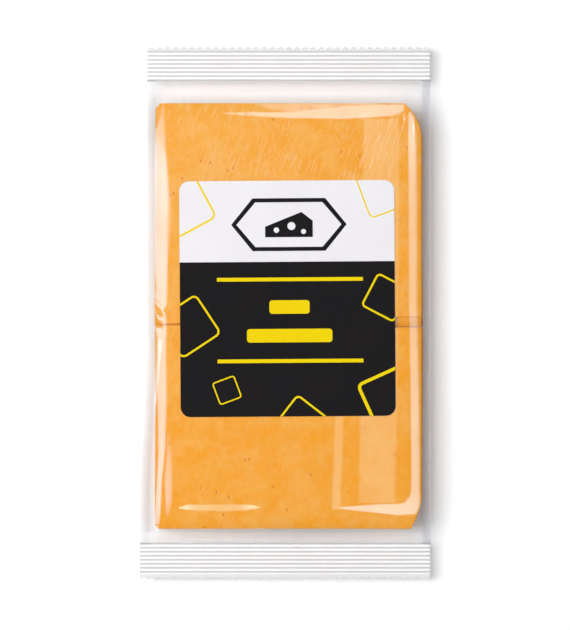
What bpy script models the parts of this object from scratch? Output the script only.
"""A flow-wrapped pack of sliced cheese, lying on its back with the label up.

Metres, +Z up, +Y towards the pack's upper seal. The origin is at the middle of the pack's
footprint, on the surface that it lies on. The clear bag and the two stacks of slices in it are
one closed solid of the bag's outer form; the sticker and its printed fields lie on top.
"""

import math

import bmesh
import bpy
from mathutils import Matrix

# The bag's outline in plan: how far its folded side edges stand from the middle line
RIGHT_EDGE = 0.0582
LEFT_EDGE = 0.0554
LEFT_FLARE = 0.0030
FLARE_START = -0.010
FLARE_LENGTH = 0.070

# The lie of the bag along Y
TOOTH_TIP = 0.1067
TOOTH_DEPTH = 0.0008
TOOTH_PITCH = 0.0032
UPPER_SEAL = 0.0929
LOWER_SEAL = -0.0919
UPPER_SHOULDER = 0.0856
LOWER_SHOULDER = -0.0872
SEAM = -0.0045

# Heights
PACK_HEIGHT = 0.0222
FOLD_HEIGHT = 0.0105
SEAL_THICKNESS = 0.0005
SEAM_DIP = 0.0005
SEAM_WIDTH = 0.0022

# The rounding of the film over the edges of the stacks
SHOULDER_SHARE = 0.20
SHOULDER_POWER = 3.4
SHOULDER_STEPS = 6
FLAT_STEPS = 12
PANEL_BLEND = 0.42

# The tucks that the film gathers in at the corners of the end panels
TUCK_DEPTH = 0.0009
TUCK_WIDTH = 0.0030
TUCK_PLACES = (0.62, 0.84)

# Crimped seals
RIDGES = 7
RIDGE_PITCH = 0.00163
FIRST_GROOVE = 0.0006
RIDGE_HEIGHT = 0.0003
RIDGE_STEPS = 6
SEAL_OVERLAP = 0.0020
# The crimped strip stands this much wider than the bag, and the toothed end this much narrower
CRIMP_PROUD = 0.0002

# The sticker and what is printed on it
GAP = 0.0003
STICKER_THICKNESS = 0.0003
STICKER_LEFT, STICKER_RIGHT = -0.0420, 0.0436
STICKER_LOW, STICKER_HIGH = -0.0411, 0.0528
STICKER_RADIUS = 0.0040
FIELD_TOP = 0.0205
FIELD_INSET = 0.0003
RULE_LEFT, RULE_RIGHT = -0.0272, 0.0309
RULE_THICKNESS = 0.0015
RULE_HEIGHTS = {"upper": 0.0135, "lower": -0.0190}
BAR_MIDDLE = 0.0016
BAR_HEIGHT = 0.0054
BARS = {"upper": (0.0025, 0.0160), "lower": (-0.0089, 0.0340)}
EMBLEM_MIDDLE = (0.0016, 0.0353)
FRAME_WIDTH, FRAME_HEIGHT = 0.0460, 0.0210
FRAME_POINT = 0.0085
FRAME_LINE = 0.0016
WEDGE_WIDTH, WEDGE_HEIGHT = 0.0190, 0.0100
WEDGE_HOLES = ((-0.0050, -0.0022, 0.0011), (0.0010, -0.0006, 0.0016), (0.0058, -0.0028, 0.0010))

# Colours: red, green, blue, then roughness
COLOURS = {
    "cheese_under_film": (0.90, 0.42, 0.08, 0.15),
    "clear_film": (0.78, 0.77, 0.78, 0.12),
    "sticker": (0.92, 0.90, 0.93, 0.45),
    "black_print": (0.012, 0.009, 0.011, 0.35),
    "yellow_print": (1.00, 0.74, 0.01, 0.40),
}


def clear_scene():
    for thing in list(bpy.data.objects):
        bpy.data.objects.remove(thing, do_unlink=True)


def new_collection(name):
    made = bpy.data.collections.new(name)
    bpy.context.scene.collection.children.link(made)
    return made


def material(slot):
    """The Principled material of one slot, made once."""
    found = bpy.data.materials.get(slot)
    if found:
        return found
    red, green, blue, roughness = COLOURS[slot]
    made = bpy.data.materials.new(slot)
    made.use_nodes = True
    shader = made.node_tree.nodes["Principled BSDF"]
    shader.inputs["Base Color"].default_value = (red, green, blue, 1)
    shader.inputs["Roughness"].default_value = roughness
    shader.inputs["Metallic"].default_value = 0
    return made


def smooth_step(share):
    share = min(1.0, max(0.0, share))
    return share * share * (3 - 2 * share)


def bump(distance, width):
    return math.exp(-((distance / width) ** 2))


# The bag's form


def side_edges(y):
    """Left and right of the bag's folded edges at y, drawn in a little at the seam."""
    flare = LEFT_FLARE * smooth_step((FLARE_START - y) / FLARE_LENGTH)
    pinch = SEAM_DIP * bump(y - SEAM, SEAM_WIDTH * 2)
    return -LEFT_EDGE - flare + pinch, RIGHT_EDGE - pinch


def panel_share(y):
    """How far the film has risen from the seals at y: 0 on a seal, 1 over the slices."""
    upper = (UPPER_SEAL - y) / (UPPER_SEAL - UPPER_SHOULDER)
    lower = (LOWER_SEAL - y) / (LOWER_SEAL - LOWER_SHOULDER)
    rise = max(0.0, min(upper, lower))
    blend = min(1.0, max(0.0, 0.5 + 0.5 * (1 - rise) / PANEL_BLEND))
    return 1 + (rise - 1) * blend - PANEL_BLEND * blend * (1 - blend)


def tucks(across, y):
    """The depth of the film's corner tucks, which lie only on the sloping end panels."""
    share = panel_share(y)
    on_panel = 4 * share * (1 - share)
    half_width = (RIGHT_EDGE + LEFT_EDGE) / 2
    deep = sum(bump((abs(across) - place) * half_width, TUCK_WIDTH) for place in TUCK_PLACES)
    return TUCK_DEPTH * deep * on_panel


def lap_round():
    """One lap of the bag's cross-section, from the right fold over the top and back beneath.

    Each point is (across, share, side): across runs -1 to 1 between the folds, share is how far
    it stands from the fold's height, and side is 1 on top and -1 beneath.
    """
    quarter = [math.pi / 2 * step / SHOULDER_STEPS for step in range(SHOULDER_STEPS + 1)]
    curve = [(math.cos(a) ** (2 / SHOULDER_POWER), math.sin(a) ** (2 / SHOULDER_POWER)) for a in quarter]
    rise = [(1 - SHOULDER_SHARE * (1 - max(0.0, c)), s) for c, s in curve]
    flat_end = 1 - SHOULDER_SHARE
    flat = [(flat_end * (1 - 2 * step / FLAT_STEPS), 1.0) for step in range(1, FLAT_STEPS)]
    over = rise + flat + [(-across, share) for across, share in reversed(rise)]
    top = [(across, share, 1) for across, share in over]
    beneath = [(-across, share, -1) for across, share in over[1:-1]]
    return top + beneath


def stations():
    """The places along Y where the bag's cross-section is set, closer together on the panels."""
    panel = 0.016
    panel_steps, middle_steps = 10, 5
    inside = (SEAM_WIDTH, SEAM_WIDTH / 2, 0.0, -SEAM_WIDTH / 2, -SEAM_WIDTH)
    upper = [UPPER_SEAL + SEAL_OVERLAP]
    upper += [UPPER_SEAL - panel * step / panel_steps for step in range(panel_steps + 1)]
    lower = [LOWER_SEAL - SEAL_OVERLAP]
    lower += [LOWER_SEAL + panel * step / panel_steps for step in range(panel_steps + 1)]
    seam = [SEAM + 2 * offset for offset in inside]
    upper_run = [upper[-1] + (seam[0] - upper[-1]) * s / middle_steps for s in range(1, middle_steps)]
    lower_run = [seam[-1] + (lower[-1] - seam[-1]) * s / middle_steps for s in range(1, middle_steps)]
    return upper + upper_run + seam + lower_run + lower[::-1]


def bag_point(across, share, side, y):
    """Where a point of the lap lies at station y."""
    left, right = side_edges(y)
    x = (left + right) / 2 + across * (right - left) / 2
    half_seal = SEAL_THICKNESS * 0.4
    rise = panel_share(y) * share
    if side > 0:
        dip = SEAM_DIP * bump(y - SEAM, SEAM_WIDTH) * share
        height = (PACK_HEIGHT - FOLD_HEIGHT - half_seal) * rise + half_seal
        return x, y, FOLD_HEIGHT + height - dip - tucks(across, y) * share
    return x, y, FOLD_HEIGHT - half_seal - (FOLD_HEIGHT - half_seal) * rise


def bag_body(collection):
    """The filled part of the bag: a cylinder whose rings are drawn onto the cross-sections."""
    lap = lap_round()
    places = stations()
    form = bmesh.new()
    bmesh.ops.create_cone(
        form, cap_ends=True, segments=len(lap), radius1=1, radius2=1, depth=1
    )
    along = [e for e in form.edges if abs(e.verts[0].co.z - e.verts[1].co.z) > 0.5]
    bmesh.ops.subdivide_edges(form, edges=along, cuts=len(places) - 2)
    for vert in form.verts:
        turn = round(math.atan2(vert.co.y, vert.co.x) / math.tau * len(lap)) % len(lap)
        ring = round((vert.co.z + 0.5) * (len(places) - 1))
        vert.co = bag_point(*lap[turn], places[ring])
    bmesh.ops.recalc_face_normals(form, faces=form.faces)
    mesh = bpy.data.meshes.new("pack")
    form.to_mesh(mesh)
    form.free()
    body = bpy.data.objects.new("pack", mesh)
    collection.objects.link(body)
    return body


# Flat and extruded outlines


def outline_curve(name, loops, half_depth):
    """A filled flat curve from closed loops of points, thick by half_depth each way."""
    curve = bpy.data.curves.new(name, "CURVE")
    curve.dimensions = "2D"
    curve.fill_mode = "BOTH"
    curve.extrude = half_depth
    for points in loops:
        spline = curve.splines.new("POLY")
        spline.points.add(len(points) - 1)
        for slot, (x, y) in zip(spline.points, points):
            slot.co = (x, y, 0, 1)
        spline.use_cyclic_u = True
    return bpy.data.objects.new(name, curve)


def as_mesh(curve_object, collection):
    """The curve as a welded mesh in its place; the curve is removed."""
    bpy.context.scene.collection.objects.link(curve_object)
    bpy.context.view_layer.update()
    evaluated = curve_object.evaluated_get(bpy.context.evaluated_depsgraph_get())
    mesh = bpy.data.meshes.new_from_object(evaluated)
    name = curve_object.name
    place = curve_object.matrix_world.copy()
    bpy.data.objects.remove(curve_object, do_unlink=True)
    form = bmesh.new()
    form.from_mesh(mesh)
    bmesh.ops.remove_doubles(form, verts=form.verts, dist=1e-6)
    bmesh.ops.recalc_face_normals(form, faces=form.faces)
    form.to_mesh(mesh)
    form.free()
    mesh.name = name
    made = bpy.data.objects.new(name, mesh)
    made.matrix_world = place
    collection.objects.link(made)
    return made


def arc(middle, radius, start, sweep=math.pi / 2, steps=6):
    """Points of an arc, angles in radians."""
    angles = [start + sweep * step / steps for step in range(steps + 1)]
    return [(middle[0] + radius * math.cos(a), middle[1] + radius * math.sin(a)) for a in angles]


def rounded_box(left, low, right, high, radii):
    """A rectangle with its own corner radii: lower left, lower right, upper right, upper left."""
    a, b, c, d = radii
    points = arc((left + a, low + a), a, math.pi)
    points += arc((right - b, low + b), b, 1.5 * math.pi)
    points += arc((right - c, high - c), c, 0)
    points += arc((left + d, high - d), d, 0.5 * math.pi)
    return points


# Crimped seals


def crimp(name, seal_line, sign, collection):
    """The ridged strip: its outline in the YZ plane is extruded across the pack."""
    left, right = side_edges(seal_line)
    length = RIDGES * RIDGE_PITCH
    steps = RIDGES * RIDGE_STEPS
    wave = []
    for step in range(steps + 1):
        share = step / steps
        lift = RIDGE_HEIGHT * (0.5 - 0.5 * math.cos(math.tau * RIDGES * share))
        wave.append((seal_line + sign * (FIRST_GROOVE + length * share), lift))
    run = [(seal_line - sign * SEAL_OVERLAP * 0.3, 0.0)] + wave
    over = [(y, FOLD_HEIGHT + SEAL_THICKNESS / 2 + lift) for y, lift in run]
    under = [(y, FOLD_HEIGHT - SEAL_THICKNESS / 2 + lift) for y, lift in reversed(run)]
    strip = outline_curve(name, [over + under], (right - left) / 2 + CRIMP_PROUD)
    # Local X, Y and Z become the pack's Y, Z and X
    turn = Matrix(((0, 0, 1, 0), (1, 0, 0, 0), (0, 1, 0, 0), (0, 0, 0, 1)))
    strip.matrix_world = Matrix.Translation(((left + right) / 2, 0, 0)) @ turn
    return as_mesh(strip, collection)


def toothed_edge(name, seal_line, sign, collection):
    """The flat end of the seal, cut to teeth."""
    left, right = side_edges(seal_line)
    left, right = left + CRIMP_PROUD, right - CRIMP_PROUD
    teeth = round((right - left) / TOOTH_PITCH)
    pitch = (right - left) / teeth
    root = sign * (TOOTH_TIP - TOOTH_DEPTH)
    tip = sign * TOOTH_TIP
    inner = seal_line + sign * (RIDGES - 0.4) * RIDGE_PITCH
    cut = [(left, root)]
    for tooth in range(teeth):
        cut += [(left + (tooth + 0.5) * pitch, tip), (left + (tooth + 1) * pitch, root)]
    strip = outline_curve(name, [[(right, inner), (left, inner)] + cut], SEAL_THICKNESS * 0.4)
    strip.location.z = FOLD_HEIGHT
    return as_mesh(strip, collection)


def build_pack(collection):
    """The bag's body and its two seals, joined into one solid."""
    pack = bag_body(collection)
    joined = new_collection("joined_to_pack")
    for name, line, sign in (("upper", UPPER_SEAL, 1), ("lower", LOWER_SEAL, -1)):
        crimp(name + "_crimp", line, sign, joined)
        toothed_edge(name + "_teeth", line, sign, joined)
    union = pack.modifiers.new("union", "BOOLEAN")
    union.operation = "UNION"
    union.operand_type = "COLLECTION"
    union.collection = joined
    union.solver = "EXACT"
    bpy.context.view_layer.update()
    evaluated = pack.evaluated_get(bpy.context.evaluated_depsgraph_get())
    whole = bpy.data.meshes.new_from_object(evaluated)
    pack.modifiers.clear()
    pack.data = whole
    whole.name = "pack"
    for strip in list(joined.objects):
        bpy.data.objects.remove(strip, do_unlink=True)
    bpy.data.collections.remove(joined)
    whole.shade_smooth()
    whole.set_sharp_from_angle(angle=math.radians(35))
    whole.materials.clear()
    for slot in ("cheese_under_film", "clear_film"):
        whole.materials.append(material(slot))
    for face in whole.polygons:
        over_cheese = LOWER_SHOULDER < face.center.y < UPPER_SHOULDER
        face.material_index = 0 if over_cheese else 1


# The sticker and its print


def flat_piece(name, loops, bottom, slot, collection):
    """A thin piece lying on the pack, from its outline's loops."""
    piece = outline_curve(name, loops, STICKER_THICKNESS / 2)
    piece.location.z = bottom + STICKER_THICKNESS / 2
    made = as_mesh(piece, collection)
    made.data.materials.clear()
    made.data.materials.append(material(slot))


def rule_box(height, grown=0.0):
    half = RULE_THICKNESS / 2 + grown
    low, high = height - half, height + half
    radii = (0.0002 + grown,) * 4
    return rounded_box(RULE_LEFT - grown, low, RULE_RIGHT + grown, high, radii)


def bar_box(height, width, grown=0.0):
    half = BAR_HEIGHT / 2 + grown
    left, right = BAR_MIDDLE - width / 2 - grown, BAR_MIDDLE + width / 2 + grown
    radii = (0.0012 + grown,) * 4
    return rounded_box(left, height - half, right, height + half, radii)


def elongated_hexagon(width, height, point):
    """Half-width corners of a hexagon with its points left and right, about the emblem."""
    x, y = EMBLEM_MIDDLE
    flat = width / 2 - point
    corners = [(width / 2, 0), (flat, height / 2), (-flat, height / 2)]
    corners += [(-a, -b) for a, b in corners]
    return [(x + a, y + b) for a, b in corners]


def wedge_outline():
    """A wedge of cheese seen from the side, with its holes as further loops."""
    x, y = EMBLEM_MIDDLE
    left, right = x - WEDGE_WIDTH / 2, x + WEDGE_WIDTH / 2
    low, high = y - WEDGE_HEIGHT / 2, y + WEDGE_HEIGHT / 2
    body = [(left, low), (right, low), (right, high - 0.0035), (right - 0.0045, high), (left, low + 0.0042)]
    holes = [arc((x + a, y + b), r, 0, sweep=math.tau * 11 / 12, steps=11) for a, b, r in WEDGE_HOLES]
    return [body] + holes


def build_sticker(collection):
    """The sticker, its dark field with openings for the yellow print, and the emblem."""
    bottom = PACK_HEIGHT + GAP
    print_bottom = bottom + STICKER_THICKNESS + GAP
    whole = rounded_box(STICKER_LEFT, STICKER_LOW, STICKER_RIGHT, STICKER_HIGH, (STICKER_RADIUS,) * 4)
    flat_piece("sticker", [whole], bottom, "sticker", collection)
    inner = STICKER_RADIUS - FIELD_INSET
    field = rounded_box(
        STICKER_LEFT + FIELD_INSET,
        STICKER_LOW + FIELD_INSET,
        STICKER_RIGHT - FIELD_INSET,
        FIELD_TOP,
        (inner, inner, 0.0001, 0.0001),
    )
    openings = [rule_box(height, GAP) for height in RULE_HEIGHTS.values()]
    openings += [bar_box(height, width, GAP) for height, width in BARS.values()]
    flat_piece("print_dark_field", [field] + openings, print_bottom, "black_print", collection)
    for place, height in RULE_HEIGHTS.items():
        flat_piece(f"print_rule_{place}", [rule_box(height)], print_bottom, "yellow_print", collection)
    for place, (height, width) in BARS.items():
        flat_piece(f"print_bar_{place}", [bar_box(height, width)], print_bottom, "yellow_print", collection)
    line = FRAME_LINE
    frame = [
        elongated_hexagon(FRAME_WIDTH, FRAME_HEIGHT, FRAME_POINT),
        elongated_hexagon(FRAME_WIDTH - 2.6 * line, FRAME_HEIGHT - 2 * line, FRAME_POINT - 0.6 * line),
    ]
    flat_piece("print_emblem_frame", frame, print_bottom, "black_print", collection)
    flat_piece("print_emblem_wedge", wedge_outline(), print_bottom, "black_print", collection)


def main():
    clear_scene()
    collection = new_collection("pack_of_sliced_cheese")
    build_pack(collection)
    build_sticker(collection)


main()
